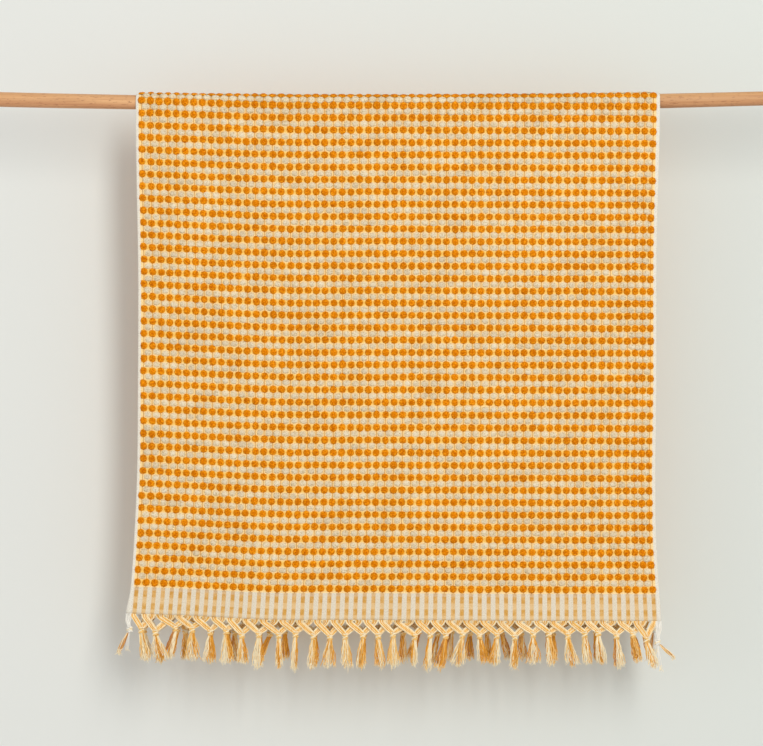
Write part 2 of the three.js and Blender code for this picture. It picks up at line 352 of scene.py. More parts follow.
def folds_out(panel, x, share):
    """How far one panel's folds and puckers push the cloth out at a place."""
    out = np.zeros_like(x)
    for fold in panel.folds:
        grown_out = soft(share, fold.start, fold.full) * (1 - soft(share, fold.stay, fold.end))
        out += fold.out * grown_out * np.exp(-(((x - fold.at) / fold.width) ** 2))
    uneven = sum(
        p.height * np.sin(x / p.across + share * CLOTH.hang / p.along + p.turn + panel.turn) for p in PUCKERED
    )
    return out + uneven * soft(share, 0, 0.1)


def cloth(across, weft, lift=0.0):
    """The places of points of the hanging cloth, as an array of x, y, z.

    Across is the place between the selvedges, and weft the place along the cloth: 0 at the fold, above 0
    in front and below 0 behind. Lift is the distance out from the middle of the cloth's thickness.
    """
    across, weft, lift = (np.array(a, float) for a in np.broadcast_arrays(across, weft, lift))
    x = across.copy()
    path = weft.copy()
    share = np.zeros_like(x)
    for _ in range(7):
        axis = rod_axis(x)
        quarter = (rod_radius(x) + TOUCH + PILE / 2) * math.pi / 2
        path = weft - soft(path, -quarter, 0.7 * quarter) * (weft_rise(x, share) - axis)
        front = path >= 0
        hem = np.where(front, front_hem(x), back_hem(x))
        share = np.maximum(0, np.abs(path) - quarter) / (axis - hem)
        x = across + np.where(front, front_shift(across, share), back_shift(across, share))
    out = rod_radius(x) + TOUCH + PILE / 2 + lift
    out += np.where(front, folds_out(FRONT, x, share), folds_out(BACK, x, share))
    angle = np.minimum(np.abs(path) / quarter, 1) * math.pi / 2
    y = np.where(front, -1, 1) * out * np.sin(angle)
    drop = np.where(front, loosened(share), share)
    z = np.where(share > 0, axis + (hem - axis) * drop, axis + out * np.cos(angle))
    return np.stack([x, y, z], axis=-1)


# Ground cloth: a plain weave of cream and mustard cotton. Under the tufts it lies flat. At each end is a
# flat band, where white ribs stand between sheer mustard stripes that carry two rows of darker dashes.
WEAVE = SimpleNamespace(columns=60, pitch=8.26, rows=81, row_pitch=11.886, first_row=14.2, last=39)
RIB = SimpleNamespace(width=4.5, out=0.3)
STRIPE = SimpleNamespace(half=1.95)
GROUND_STEPS = 480
CROWN = SimpleNamespace(until=18, step=2)
DROP_STEPS = 25
BAND_STEPS = 9


def ground_wefts():
    """Where the cross lines of the ground cloth's mesh lie: close over the rod and in the two bands."""
    band = HALF_LENGTH - CLOTH.band
    crown = np.arange(0, CROWN.until, CROWN.step)
    drop = np.linspace(CROWN.until, band - 1, DROP_STEPS)
    foot = np.linspace(band, HALF_LENGTH, BAND_STEPS)
    front = np.concatenate([crown, drop, foot])
    return np.concatenate([-front[:0:-1], front])


def in_band(weft):
    return soft(CLOTH.band - (HALF_LENGTH - np.abs(weft)), -0.5, 0.5)


def ground_lift(across, weft):
    """The ground cloth lies inside the pile, hugs the rod, and is ribbed in its two bands."""
    hugging = CLOTH.hugging * (1 - soft(np.abs(weft), QUARTER, 3 * QUARTER))
    column = across / WEAVE.pitch
    beside = np.abs(column - np.round(column)) * WEAVE.pitch
    rib = 1 - soft(beside, RIB.width / 2 - 0.5, RIB.width / 2 + 0.5)
    return -CLOTH.sunk - hugging + RIB.out * rib * in_band(weft)


def ground_mesh():
    wefts = ground_wefts()
    rows = len(wefts) - 1
    sheet = bmesh.new()
    bmesh.ops.create_grid(sheet, x_segments=GROUND_STEPS, y_segments=rows, size=1)
    flat = np.array([v.co for v in sheet.verts])
    weft = -np.interp((flat[:, 1] + 1) / 2 * rows, np.arange(rows + 1), wefts)
    across = np.interp(flat[:, 0], (-1, 1), (CLOTH.trim - CLOTH.width / 2, CLOTH.width / 2))
    eased = soft(CLOTH.band - (HALF_LENGTH - np.abs(weft)), 0, CLOTH.band) * np.maximum(0, -flat[:, 0]) ** 200
    across -= CLOTH.eased * eased
    places = cloth(across, weft, ground_lift(across, weft)) * MM
    weave = sheet.loops.layers.uv.new("weave")
    edges = sheet.loops.layers.uv.new("edges")
    to_hem = HALF_LENGTH - np.abs(weft)
    to_side = CLOTH.width / 2 - np.abs(across)
    for vert, place in zip(sheet.verts, places):
        vert.co = place
    for face in sheet.faces:
        face.smooth = True
        for loop in face.loops:
            i = loop.vert.index
            loop[weave].uv = (across[i] * MM, weft[i] * MM)
            loop[edges].uv = (to_hem[i] * MM, to_side[i] * MM)
    mesh = bpy.data.meshes.new("towel_cloth")
    sheet.to_mesh(mesh)
    sheet.free()
    return mesh


def thread_group():
    """A plain weave's threads: how high they stand, and a mask of their uneven dye."""
    group = bpy.data.node_groups.new("woven_threads", "ShaderNodeTree")
    group.interface.new_socket("Vector", in_out="INPUT", socket_type="NodeSocketVector")
    group.interface.new_socket("Threads per mm", in_out="INPUT", socket_type="NodeSocketFloat")
    group.interface.new_socket("Height", in_out="OUTPUT", socket_type="NodeSocketFloat")
    group.interface.new_socket("Uneven", in_out="OUTPUT", socket_type="NodeSocketFloat")
    given = node(group, "NodeGroupInput")
    put_out = node(group, "NodeGroupOutput")
    parts = axes(group, given.outputs[0])
    turns = times(group, given.outputs[1], math.pi / MM)
    warp = calc(group, "SINE", times(group, parts[0], turns))
    weft = calc(group, "SINE", times(group, parts[1], turns))
    height = calc(group, "ABSOLUTE", times(group, warp, weft))
    dye = noise(group, given.outputs[0], scale=0.9 / MM, detail=3, roughness=0.6)
    group.links.new(height, put_out.inputs[0])
    group.links.new(dye, put_out.inputs[1])
    return group


WOVEN_THREADS = thread_group()
WHITE = hue(255, 255, 255)
CREAM = hue(236, 216, 184)
WHITE_YARN = hue(234, 229, 216)
RIB_YARN = hue(228, 218, 198)
PEACH = hue(255, 211, 113)
PALE_GROUND = hue(253, 225, 169)
# The thin line between cream tufts: a mustard thread passing under them, darkened with painted shade in the
# gap between the tufts.
LINK_THREAD_AND_SHADE = hue(178, 120, 62)


def weave_places(tree):
    """Where a point lies in the repeat, as columns and rows of tufts, and how near a mustard tuft it is."""
    places = node(tree, "ShaderNodeUVMap", uv_map="weave").outputs[0]
    parts = axes(tree, places)
    column = calc(tree, "ADD", calc(tree, "DIVIDE", parts[0], WEAVE.pitch * MM), 0.5)
    first = calc(tree, "SUBTRACT", parts[1], WEAVE.first_row * MM)
    row = calc(tree, "DIVIDE", first, WEAVE.row_pitch * MM)
    column_wave, row_wave = (calc(tree, "COSINE", times(tree, value, math.tau)) for value in (column, row))
    near = calc(tree, "ADD", times(tree, calc(tree, "ADD", column_wave, row_wave), 0.25), 0.5)
    return places, column, row, near


def to_whole(tree, value):
    """How far a value is from the nearest whole number."""
    return calc(tree, "ABSOLUTE", calc(tree, "SUBTRACT", value, calc(tree, "ROUND", value)))


def ground_finish(name, dotted):
    """The ground cloth's outer side, or its inner side, where the tufts' yarns float flat as dots."""
    finish, tree, shader = new_finish(name, roughness=1.0, sheen=0.03, gloss=0.05)
    places, column, row, near = weave_places(tree)
    to_hem, to_side, _ = axes(tree, node(tree, "ShaderNodeUVMap", uv_map="edges").outputs[0])
    threads = node(tree, "ShaderNodeGroup", node_tree=WOVEN_THREADS)
    tree.links.new(places, threads.inputs[0])
    threads.inputs["Threads per mm"].default_value = 1.9
    height, uneven = threads.outputs

    beside = to_whole(tree, column)
    if dotted:
        plain = ramp(tree, near, [(0.3, hue(220, 140, 42)), (0.42, PEACH), (0.6, CREAM)])
    else:
        plain = ramp(tree, near, [(0.1, CREAM), (0.42, PEACH), (0.75, hue(226, 150, 50))])
    # Between cream tufts, on each column, a thin line is painted in thread colour and painted shade.
    between = grown(tree, to_whole(tree, calc(tree, "ADD", row, 0.5)), 0.3, 0.22)
    thin = grown(tree, beside, 0.06, 0.025)
    paler = blend_colours(tree, times(tree, between, 0.75), plain, PALE_GROUND)
    linked_and_shaded = blend_colours(tree, times(tree, times(tree, between, thin), 0.7), paler, LINK_THREAD_AND_SHADE)

    # The stripes' tan is partly the mustard yarn and partly painted shade from behind, showing through the
    # sheer weave. At the band's top, just under the pile, they darken as a painted shadow of the tufts above.
    stripes_and_shade = ramp(tree, calc(tree, "DIVIDE", to_hem, CLOTH.band * MM), [
        (0.0, hue(232, 198, 146)), (0.17, hue(230, 194, 140)),
        (0.21, hue(216, 164, 84)), (0.39, hue(214, 162, 82)),
        (0.44, hue(232, 198, 148)), (0.62, hue(228, 192, 140)),
        (0.66, hue(213, 160, 80)), (0.85, hue(211, 158, 82)),
        (0.9, hue(218, 184, 142)), (1.0, hue(204, 172, 134)),
    ])
    patchy = grown(tree, noise(tree, places, scale=0.13 / MM, detail=3, roughness=0.7), 0.42, 0.62)
    stripes_and_shade = blend_colours(tree, times(tree, patchy, 0.6), stripes_and_shade, hue(234, 196, 138))
    ribbed = grown(tree, beside, (STRIPE.half - 0.3) / WEAVE.pitch, (STRIPE.half + 0.3) / WEAVE.pitch)
    band = blend_colours(tree, ribbed, stripes_and_shade, RIB_YARN)
    pile = grown(tree, to_hem, (CLOTH.band - 0.3) * MM, (CLOTH.band + 0.3) * MM)
    colour = blend_colours(tree, pile, band, linked_and_shaded)
    inside = grown(tree, to_side, (CLOTH.selvedge - 0.5) * MM, (CLOTH.selvedge + 0.2) * MM)
    colour = blend_colours(tree, inside, WHITE_YARN, colour)
    shade = ramp(tree, uneven, [(0.3, hue(232, 226, 218)), (0.6, WHITE)])
    tree.links.new(blend_colours(tree, 1.0, colour, shade, "MULTIPLY"), shader.inputs["Base Color"])
    bump(tree, shader, height, 0.5, 0.2)
    return finish


outer_ground = ground_finish("ground_weave", dotted=False)
inner_ground = ground_finish("ground_weave_inside", dotted=True)
towel = add_piece("towel_cloth", ground_mesh(), outer_ground, inner_ground)
thickness = towel.modifiers.new("thickness", "SOLIDIFY")
thickness.thickness = 2 * CLOTH.ground * MM
thickness.offset = 0
thickness.material_offset = 1
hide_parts("towel")

# Tufts: the raised dots. Each is a small block of cotton loops, mustard ones in rows and cream ones
# between them, half a column aside, so that the two colours interlock. They stand on the outer side only.
TUFT = SimpleNamespace(sides=8, rings=6, square=2.3, puff=0.75, top=1.25, root=0.75)
MUSTARD_TUFT = SimpleNamespace(wide=7.4, tall=8.0)
CREAM_TUFT = SimpleNamespace(wide=7.6, tall=6.5)
TUFT_CHANCE = SimpleNamespace(place=0.2, size=0.04, turn=0.08, lump=0.05, height=0.08)

# How far to each side of a tuft the cloth is looked at, to find which way it runs there.
BESIDE = 0.5


def tuft_dome():
    """One tuft, 1 in radius and 1 in height: a dome with a flat foot, as points and faces."""
    dome = bmesh.new()
    bmesh.ops.create_uvsphere(dome, u_segments=TUFT.sides, v_segments=TUFT.rings, radius=1)
    bmesh.ops.bisect_plane(
        dome, geom=dome.verts[:] + dome.edges[:] + dome.faces[:], plane_co=(0, 0, 0), plane_no=(0, 0, -1),
        clear_outer=True, dist=1e-4,
    )
    dome.verts.index_update()
    points = np.array([(v.co.x, v.co.y, max(0.0, v.co.z) ** TUFT.puff) for v in dome.verts])
    turn = np.arctan2(points[:, 1], points[:, 0])
    square = (np.abs(np.cos(turn)) ** TUFT.square + np.abs(np.sin(turn)) ** TUFT.square) ** (-1 / TUFT.square)
    points[:, :2] *= square[:, None]
    faces = sorted([v.index for v in f.verts] for f in dome.faces)
    dome.free()
    return points, faces


def joined_copies(name, points, faces, core):
    """One mesh of many copies of a shape. Points holds the places of every copy's points, copy by copy.

    Core says how near each point of the shape is to its middle; the mesh keeps it for its finish.
    """
    copies, size = points.shape[:2]
    sizes = np.array([len(f) for f in faces], np.int32)
    corners = np.concatenate([np.array(f, np.int32) for f in faces])
    loops = (corners[None, :] + size * np.arange(copies, dtype=np.int32)[:, None]).ravel()
    counts = np.tile(sizes, copies)
    starts = np.concatenate([[0], np.cumsum(counts)[:-1]]).astype(np.int32)
    mesh = bpy.data.meshes.new(name)
    mesh.vertices.add(copies * size)
    mesh.vertices.foreach_set("co", (points * MM).astype(np.float32).ravel())
    mesh.loops.add(len(loops))
    mesh.loops.foreach_set("vertex_index", loops)
    mesh.polygons.add(len(counts))
    mesh.polygons.foreach_set("loop_start", starts)
    mesh.polygons.foreach_set("use_smooth", np.ones(len(counts), bool))
    mesh.update(calc_edges=True)
    mesh.validate()
    kept = mesh.attributes.new("core", "FLOAT", "POINT")
    kept.data.foreach_set("value", np.tile(core, copies).astype(np.float32))
    return mesh


def tufts_mesh(name, columns, wefts, size, seed):
    """Tufts at every crossing of the columns and the rows, each turned to lie on the cloth."""
    chance = np.random.default_rng(seed)
    across, weft = (a.ravel() for a in np.meshgrid(columns, wefts))
    count = len(across)
    across = across + TUFT_CHANCE.place * chance.normal(size=count)
    weft = weft + TUFT_CHANCE.place * chance.normal(size=count)
    foot = cloth(across, weft, -TUFT.root)
    along_x = cloth(across + BESIDE, weft, -TUFT.root) - cloth(across - BESIDE, weft, -TUFT.root)
    along_z = cloth(across, weft - BESIDE, -TUFT.root) - cloth(across, weft + BESIDE, -TUFT.root)
    along_x /= np.linalg.norm(along_x, axis=1)[:, None]
    along_z /= np.linalg.norm(along_z, axis=1)[:, None]
    out = np.cross(along_x, along_z)
    dome, faces = tuft_dome()
    turn = TUFT_CHANCE.turn * chance.normal(size=count)
    lumps = 1 + TUFT_CHANCE.lump * chance.normal(size=(count, len(dome)))
    grow = 1 + TUFT_CHANCE.size * chance.normal(size=(count, 2))
    rise = (TUFT.top + TUFT.root) * (1 + TUFT_CHANCE.height * chance.normal(size=count))
    u = dome[None, :, 0] * lumps * (size.wide / 2) * grow[:, :1]
    v = dome[None, :, 1] * lumps * (size.tall / 2) * grow[:, 1:]
    h = dome[None, :, 2] * rise[:, None] * (0.5 + 0.5 * lumps)
    cos, sin = np.cos(turn)[:, None], np.sin(turn)[:, None]
    u, v = u * cos - v * sin, u * sin + v * cos
    points = (
        foot[:, None, :] + u[..., None] * along_x[:, None, :] + v[..., None] * along_z[:, None, :]
        + h[..., None] * out[:, None, :]
    )
    return joined_copies(name, points, faces, 1 - np.hypot(dome[:, 0], dome[:, 1]))


def loop_group():
    """A block of cotton loops: how high each loop stands, its own tone of colour, and a mask of the gaps
    between loops, where shade is painted.
    """
    group = bpy.data.node_groups.new("cotton_loops", "ShaderNodeTree")
    group.interface.new_socket("Vector", in_out="INPUT", socket_type="NodeSocketVector")
    group.interface.new_socket("Height", in_out="OUTPUT", socket_type="NodeSocketFloat")
    group.interface.new_socket("Shade", in_out="OUTPUT", socket_type="NodeSocketFloat")
    group.interface.new_socket("Between", in_out="OUTPUT", socket_type="NodeSocketFloat")
    given = node(group, "NodeGroupInput")
    put_out = node(group, "NodeGroupOutput")
    loops = node(group, "ShaderNodeTexVoronoi", {"Vector": given.outputs[0], "Scale": 1.0})
    height = calc(group, "SUBTRACT", 1.0, loops.outputs["Distance"])
    shade = node(group, "ShaderNodeSeparateColor", {0: loops.outputs["Color"]}).outputs[0]
    group.links.new(height, put_out.inputs[0])
    group.links.new(shade, put_out.inputs[1])
    group.links.new(grown(group, loops.outputs["Distance"], 0.5, 0.85), put_out.inputs[2])
    return group


COTTON_LOOPS = loop_group()


def tuft_finish(name, shades, between, gap_shade_depth, painted_rim_light, middle):
    """Cotton loops: their shades; the colour and depth of the painted shade in the gaps between them; and the
    tints of rim and middle, a painted lift of each tuft's rim against its own shading.
    """
    finish, tree, shader = new_finish(name, roughness=1.0, sheen=0.03, gloss=0.05)
    loops = node(tree, "ShaderNodeGroup", node_tree=COTTON_LOOPS)
    tree.links.new(stretched(tree, (0.95, 0.95, 0.95)), loops.inputs[0])
    height, shade, gap_shade = loops.outputs
    colour = ramp(tree, shade, shades)
    # Painted shade: the gaps between loops are painted in a darker colour.
    colour = blend_colours(tree, times(tree, gap_shade, gap_shade_depth), colour, between)
    uneven = noise(tree, stretched(tree, (0.06, 0.06, 0.06)), detail=2)
    tint = ramp(tree, uneven, [(0.3, hue(238, 234, 230)), (0.65, WHITE)])
    # Painted light: each tuft's middle is tinted deeper than its rim, which lifts the rim against the dome's
    # shading.
    core = grown(tree, node(tree, "ShaderNodeAttribute", attribute_name="core").outputs["Fac"], 0.15, 0.75)
    colour = blend_colours(tree, 1.0, colour, blend_colours(tree, core, painted_rim_light, middle), "MULTIPLY")
    tree.links.new(blend_colours(tree, 1.0, colour, tint, "MULTIPLY"), shader.inputs["Base Color"])
    bump(tree, shader, height, 0.8, 0.5)
    return finish


# Each finish gives the loops' shades, then the colour and depth of the painted shade in the gaps between
# loops, then the rim and middle tints.
MUSTARD_LOOPS = tuft_finish("mustard_loops", [
    (0.0, hue(198, 111, 7)), (0.25, hue(215, 130, 8)), (0.65, hue(231, 144, 12)), (1.0, hue(254, 170, 34)),
], between=hue(178, 101, 8), gap_shade_depth=0.42, painted_rim_light=WHITE, middle=hue(253, 232, 176))
CREAM_LOOPS = tuft_finish("cream_loops", [
    (0.0, hue(206, 185, 146)), (0.22, hue(232, 212, 177)), (1.0, hue(240, 226, 199)),
], between=hue(182, 158, 114), gap_shade_depth=0.4, painted_rim_light=hue(255, 254, 247), middle=hue(248, 250, 253))

COLUMNS = (np.arange(WEAVE.columns) - (WEAVE.columns - 1) / 2) * WEAVE.pitch
ROWS = WEAVE.first_row + WEAVE.row_pitch * np.arange(WEAVE.last - WEAVE.rows + 1, WEAVE.last + 1)
CREAM_COLUMNS = (COLUMNS[1:] + COLUMNS[:-1]) / 2
CREAM_ROWS = (ROWS[1:] + ROWS[:-1]) / 2
TUFT_PIECES = (
    ("mustard_tufts_front", COLUMNS, ROWS[ROWS > 0], MUSTARD_TUFT, MUSTARD_LOOPS, 11),
    ("mustard_tufts_back", COLUMNS, ROWS[ROWS < 0], MUSTARD_TUFT, MUSTARD_LOOPS, 12),
    ("cream_tufts_front", CREAM_COLUMNS, CREAM_ROWS[CREAM_ROWS > 0], CREAM_TUFT, CREAM_LOOPS, 13),
    ("cream_tufts_back", CREAM_COLUMNS, CREAM_ROWS[CREAM_ROWS < 0], CREAM_TUFT, CREAM_LOOPS, 14),
)
for name, columns, wefts, size, finish, seed in TUFT_PIECES:
    piece = add_piece(name, tufts_mesh(name, columns, wefts, size, seed), finish)

# Fringes: the warp yarns that run out of the two hems. Flat bundles cross each other, one in front going
# right and one behind going left. Each pair is knotted, and below its knot it hangs as a short tassel.
KNOTS = SimpleNamespace(first=-246.6, pitch=16.17, wide=6, deep=5.2, tall=5.8, turns=5, yarn=0.62)
LEG = SimpleNamespace(
    yarns=11, start=0.2, flush=0.25, aside=2.4, apart=0.85, spacing=0.5, gathered=0.28, steps=9,
)
TASSEL = SimpleNamespace(yarns=8, mouth=3.2, steps=13, deep=2.2, turn=1.1, kink=0.2)
YARN = SimpleNamespace(radius=0.44, tip=0.36, fibre=0.16, fibres=2, fray=2.8)
GOLDEN_ANGLE = 2.4

# The front tassels from left to right: how far each knot is off its place, and below the hem; how far the
# tassel leans and spreads; its length; and the colours of its left, middle and right locks, where tan is
# painted shade.
TASSEL_COLUMNS = ("shift", "below", "lean", "spread", "length", "locks")
FRONT_TASSELS = (
    (0, 14.8, 4.2, 9.6, 28.8, "pcp"), (-2.9, 17, 4.9, 16.3, 25, "cmc"),
    (-0.5, 12.3, -6, 6.7, 26.9, "tpc"), (-0.4, 12.8, 0.3, 15.4, 28.8, "pcm"),
    (1, 14.6, -1, 13.4, 28.3, "cpm"), (0.1, 12.6, 1, 13.4, 29.8, "ccm"),
    (-0.9, 15.9, 1.2, 11.5, 25.9, "pcm"), (-0.8, 14.4, -0.7, 11.5, 30.7, "ccp"),
    (2.2, 14.6, 0.4, 6.2, 30.2, "pmc"), (2.1, 13, -1.3, 5.8, 33.6, "ccm"),
    (3.2, 15.6, -1.2, 9.6, 29.8, "cpm"), (2.8, 16.3, -1.2, 14.4, 27.8, "pcm"),
    (1.2, 15.4, 1.9, 11.5, 29.8, "ccp"), (2.3, 14.9, -2.3, 8.6, 31.2, "cpp"),
    (0.8, 14.9, 2.2, 10.6, 29.3, "mpp"), (-1.2, 13.9, 0, 11.5, 30.2, "pcc"),
    (3.4, 15.7, -0.5, 5.8, 26.4, "mcc"), (2.3, 14.1, -2.7, 6.7, 31.7, "mcc"),
    (0.9, 14.4, -5.9, 10.6, 31.2, "tmm"), (0.8, 13.7, -4.7, 14.4, 28.8, "cpp"),
    (1.2, 14.4, 3.2, 11.5, 25, "cmm"), (1.4, 13.9, -2.1, 10.6, 27.4, "mpc"),
    (2.4, 15.8, -0.6, 7.7, 28.3, "cmp"), (3.9, 13, 0.5, 14.4, 27.4, "pcm"),
    (3, 12.5, 2.5, 8.6, 28.8, "cpm"), (5, 13.9, 4, 13.4, 27.4, "cmp"),
    (5, 12.7, 2.8, 8.6, 27.4, "ccp"), (2, 11.6, 3, 10.6, 28.3, "cmc"),
    (3.6, 14.3, 2.6, 10.6, 29.3, "tcc"), (3.2, 12.7, 4.2, 10, 25, "tmm"),
    (0, 17.4, 6.8, 9.6, 25.9, "cpc"),
)

# The back tassels that show between the front ones, by their number from the left: the lean of each, and
# its locks. They hang half a pitch to the left; the others hang behind the front ones.
BACK_HABIT = SimpleNamespace(offset=-7.6, below=14.6, length=28.5, spread=7.5, locks=("mpc", "pcm", "cpm"))
BACK_SEEN = {
    3: (0, "mmp"), 6: (1, "tpp"), 8: (-9, "mtm"), 9: (0.5, "ttm"), 16: (0, "ttp"), 17: (-7, "mmt"),
    18: (-5, "tpt"), 19: (-4, "tcp"), 20: (-1, "mtm"), 21: (1, "mmp"), 22: (6, "tpt"), 23: (1, "tpp"),
    25: (1, "ttm"),
}

# The selvedge cords at the four corners: where each leaves the hem, its knot, the tips of its tuft and of its
# stray yarns, and the tuft's colours, where tan is painted shade.
CORNER_COLUMNS = ("x", "knot_x", "knot_below", "tip_x", "tip_below", "stray_x", "stray_below", "dyes")
FRONT_CORNERS = (
    (-258, -257.6, 14.6, -268, 37.5, -260, 34, "ptct"),
    (249.6, 248.8, 19.6, 264, 35, 252, 46, "pcpt"),
)
BACK_CORNERS = (
    (-248.5, -247.5, 14, -244, 36, -246, 38, "pcpt"),
    (247, 247, 15, 243, 40, 249, 37, "ptct"),
)
CORNER_YARNS = 8

# The yarns' colours by their first letters: cream, pale mustard, mustard, tan and white. Tan is mustard yarn
# painted darker, as painted shade for locks that hang in shadow. A lock is mostly of one colour, with a few
# yarns of another.
DYES = "cpmtw"
LOCK_MIXES = {"c": "cccp", "p": "ppcm", "m": "mmmp", "t": "ttmp"}
LEG_DYES = ("ccpmcpmppcc", "cpmpcpcmppc", "ccpmcpmcpcc", "cpcmppmcpcc")
KNOT_DYES = "cpcppcp"


def yarn_finish(name, shades):
    finish, tree, shader = new_finish(name, roughness=1.0, sheen=0.1, gloss=0.1)
    streaks = noise(tree, stretched(tree, (1.1, 1.1, 0.12)), detail=2)
    plies = node(tree, "ShaderNodeTexWave", {
        "Vector": stretched(tree, (1, 1, 1)), "Scale": 0.32, "Distortion": 1.5, "Detail": 1.0,
    }, bands_direction="DIAGONAL")
    colour = ramp(tree, streaks, shades)
    twist = times(tree, plies.outputs["Fac"], 0.3)
    colour = blend_colours(tree, twist, colour, shades[0][1])
    tree.links.new(colour, shader.inputs["Base Color"])
    bump(tree, shader, plies.outputs["Fac"], 0.5, 0.2)
    return finish


YARN_FINISHES = (
    yarn_finish("cream_yarn", [(0.3, hue(240, 218, 175)), (0.6, hue(255, 243, 211))]),
    yarn_finish("pale_mustard_yarn", [(0.3, hue(234, 184, 100)), (0.6, hue(255, 216, 142))]),
    yarn_finish("mustard_yarn", [(0.3, hue(212, 142, 40)), (0.6, hue(240, 174, 66))]),
    # Tan: mustard yarn painted darker, a painted shade.
    yarn_finish("shaded_mustard_yarn", [(0.3, hue(180, 118, 58)), (0.6, hue(212, 148, 82))]),
    yarn_finish("white_yarn", [(0.3, hue(228, 223, 212)), (0.6, hue(248, 244, 234))]),
)


def varied(k, step):
    return math.sin((k + 1) * step)


def back_tassels():
    """The back tassels, which vary by an even rule."""
    rows = []
    for k, front in enumerate(FRONT_TASSELS):
        lean, locks = BACK_SEEN.get(k, (front[2] + 0.8 * varied(k, 5.3), BACK_HABIT.locks[k % 3]))
        shift = BACK_HABIT.offset + 1.4 * varied(k, 2.4) if k in BACK_SEEN else front[0] + varied(k, 2.4)
        rows.append((
            shift, BACK_HABIT.below + 1.5 * varied(k, 3.7), lean, BACK_HABIT.spread + 1.5 * varied(k, 1.9),
            BACK_HABIT.length + 2 * varied(k, 4.1) - 2, locks,
        ))
    return rows


def hem_point(panel, x):
    """The middle of a panel's hem, straight above a place along the rod."""
    near = x - panel.shift(np.array(x, float), 1.0)
    across = float(x - panel.shift(np.array(near, float), 1.0))
    weft = HALF_LENGTH if panel.facing < 0 else -HALF_LENGTH
    y = float(cloth(across, weft)[1])
    return np.array([x, y, float(panel.hem(x))])


class YarnWork:
    """Collects yarns as splines of one curve, each with its dye, and turns them into a mesh."""

    def __init__(self, name):
        self.curve = bpy.data.curves.new(name, "CURVE")
        self.curve.dimensions = "3D"
        self.curve.bevel_depth = MM
        self.curve.bevel_resolution = 0
        self.curve.use_fill_caps = True
        for finish in YARN_FINISHES:
            self.curve.materials.append(finish)

    def lay(self, points, radii, dye, closed=False):
        points = np.asarray(points, float)
        spline = self.curve.splines.new("POLY")
        spline.points.add(len(points) - 1)
        spline.points.foreach_set("co", np.c_[points * MM, np.ones(len(points))].ravel())
        spline.points.foreach_set("radius", np.broadcast_to(np.asarray(radii, float), len(points)).ravel())
        spline.material_index = DYES.index(dye)
        spline.use_cyclic_u = closed

    def mesh(self):
        curve_piece = bpy.data.objects.new(self.curve.name, self.curve)
        mesh = bpy.data.meshes.new_from_object(curve_piece)
        mesh.name = self.curve.name
        bpy.data.objects.remove(curve_piece)
        return mesh


def lay_leg(work, panel, apex, knot, side, chance):
    """One flat bundle from the hem beside one knot's place to the next knot: yarns side by side."""
    way = np.sign(knot[0] - apex)
    hang = knot - hem_point(panel, knot[0])
    start = hem_point(panel, apex + way * LEG.aside) - (0, 0, 0.5)
    end = knot + (0, 0, KNOTS.tall / 2 - 0.8)
    line = end - start
    upward = np.array([-line[2], 0, line[0]]) * way / np.linalg.norm(line)
    share = np.linspace(0, 1, LEG.steps) ** 1.4
    dyes = LEG_DYES[chance.integers(len(LEG_DYES))]
    spread = abs(knot[0] - apex) / 2 - LEG.start
    for i in range(LEG.yarns):
        root = hem_point(panel, apex + way * (LEG.start + i * spread / (LEG.yarns - 1)))
        root += (0, LEG.flush * panel.facing, 0.6)
        from_middle = i - (LEG.yarns - 1) / 2
        width = LEG.spacing * (1 - 0.3 * soft(share, 0.75, 1))
        bundled = start + share[:, None] * line + (from_middle * width)[:, None] * upward
        straight = root + share[:, None] * np.array([0, 0, hang[2]])
        gather = soft(share, 0, LEG.gathered)[:, None]
        points = straight + (bundled - straight) * gather
        points[:, 1] = root[1] + (bundled[:, 1] - root[1]) * gather[:, 0]
        points[:, 1] += side * LEG.apart * soft(share, 0, 0.3) * (1 - 0.6 * soft(share, 0.7, 1))
        points += 0.06 * chance.normal(size=points.shape)
        work.lay(points, YARN.radius * 0.85, dyes[i])


def lay_knot(work, knot, dyes, chance):
    """An overhand knot: the yarns wound round their neck, with two turns slanting over the others."""
    angle = np.linspace(0, math.tau, 13)[:-1]
    for i in range(KNOTS.turns + 2):
        over = i >= KNOTS.turns
        level = 0.1 * chance.normal() if over else i / (KNOTS.turns - 1) - 0.5
        shrink = KNOTS.yarn + 1.3 * level ** 2 - (0.35 if over else 0)
        slant = (1.5 if i % 2 else -1.5) if over else 0.35 * chance.normal()
        points = np.c_[
            (KNOTS.wide / 2 - shrink) * np.cos(angle), (KNOTS.deep / 2 - shrink) * np.sin(angle),
            -level * (KNOTS.tall - 2 * KNOTS.yarn) + slant * np.cos(angle) + 0.3 * np.sin(2 * angle + i),
        ]
        work.lay(knot + points, KNOTS.yarn * (1 + 0.1 * chance.normal()), dyes[i % len(dyes)], closed=True)


def lay_fray(work, end, before, dye, chance):
    """A yarn's cut end, opened into a few curling fibres."""
    for _ in range(YARN.fibres):
        fan = np.array([0.5 * chance.normal(), 0.5 * chance.normal(), -1])
        reach = YARN.fray * (0.5 + 0.6 * chance.random())
        curl = 0.3 * chance.normal(size=3)
        fibre = [before, end + curl, end + fan * reach * 0.6, end + fan * reach + curl]
        work.lay(fibre, [YARN.fibre * 2, YARN.fibre * 1.6, YARN.fibre, YARN.fibre * 0.5], dye)


